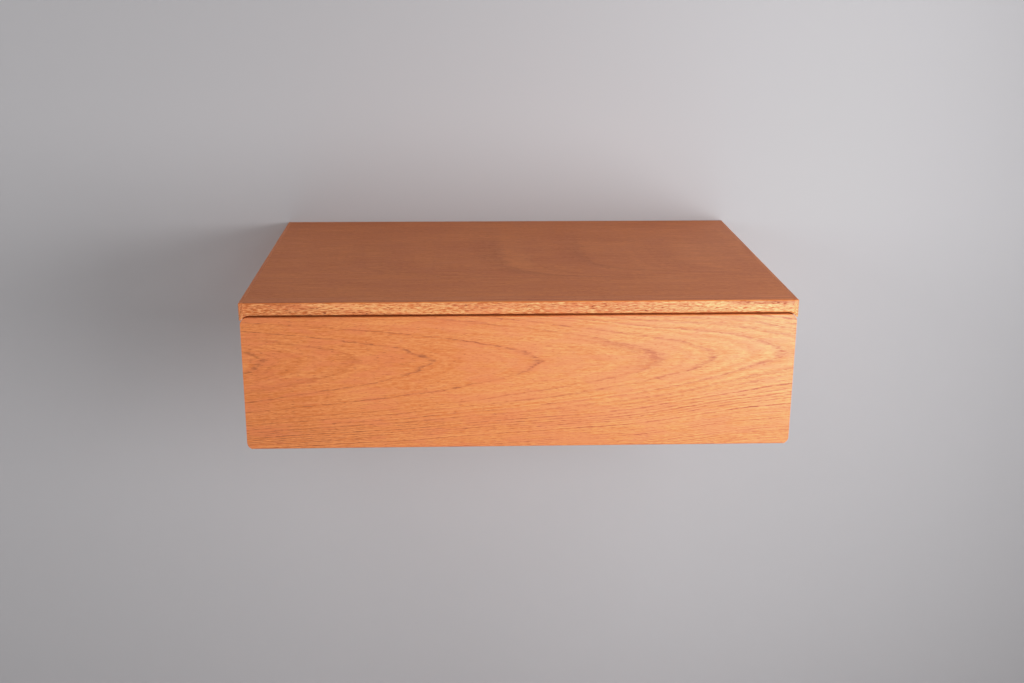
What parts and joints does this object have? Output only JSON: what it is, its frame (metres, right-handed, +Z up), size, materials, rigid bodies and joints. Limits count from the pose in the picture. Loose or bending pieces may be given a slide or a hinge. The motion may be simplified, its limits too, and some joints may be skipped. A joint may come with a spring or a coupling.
{
  "type": "sewing table",
  "caption": "Shallow teak box hung on a wall, with a flat top to work on and one wide drawer whose rounded front is let into the top's front edge.",
  "frame": {"origin": "middle of the hanging line on the wall plane: centre of the width, 40 mm below the top surface, on the rear face of the case batten", "axes": "+X to the right as seen from the front, +Y into the wall, +Z up; the drawer opens towards -Y"},
  "size_m": [0.6, 0.42, 0.166],
  "materials": {
    "teak_veneer": "oiled, satin",
    "teak_solid": "oiled, satin",
    "beech": "bare, smooth",
    "plywood": "bare, sanded",
    "pine": "bare, sawn",
    "steel": "zinc plated"
  },
  "bodies": {
    "case": {"top_board": "teak_veneer", "top_front_lipping": "teak_solid", "top_left_end_lipping": "teak_solid", "top_right_end_lipping": "teak_solid", "left_side_board": "teak_veneer", "right_side_board": "teak_veneer", "left_side_lipping": "teak_solid", "right_side_lipping": "teak_solid", "bottom_board": "teak_veneer", "bottom_lipping": "teak_solid", "back_panel": "plywood", "case_batten": "beech", "wall_batten": "pine", "stop_block": "beech", "stop_block_screw_1": "steel", "stop_block_screw_2": "steel", "top_left_spline": "beech", "top_right_spline": "beech", "bottom_left_spline": "beech", "bottom_right_spline": "beech", "left_runner": "beech", "right_runner": "beech", "left_runner_screw_1": "steel", "left_runner_screw_2": "steel", "left_runner_screw_3": "steel", "right_runner_screw_1": "steel", "right_runner_screw_2": "steel", "right_runner_screw_3": "steel"},
    "drawer": {"drawer_front_panel": "teak_veneer", "drawer_front_top_lipping": "teak_solid", "drawer_front_bottom_lipping": "teak_solid", "drawer_front_left_lipping": "teak_solid", "drawer_front_right_lipping": "teak_solid", "left_drawer_side": "beech", "right_drawer_side": "beech", "drawer_back": "beech", "drawer_bottom": "plywood", "drawer_bottom_screw_1": "steel", "drawer_bottom_screw_2": "steel", "drawer_bottom_screw_3": "steel", "long_divider": "beech", "cross_divider_1": "beech", "cross_divider_2": "beech", "cross_divider_3": "beech", "tray_divider": "beech"}
  },
  "joints": [
    {"name": "drawer_slide", "type": "slide", "parent": "case", "child": "drawer", "axis": [0, -1, 0], "range_m": [0, 0.29]}
  ]
}
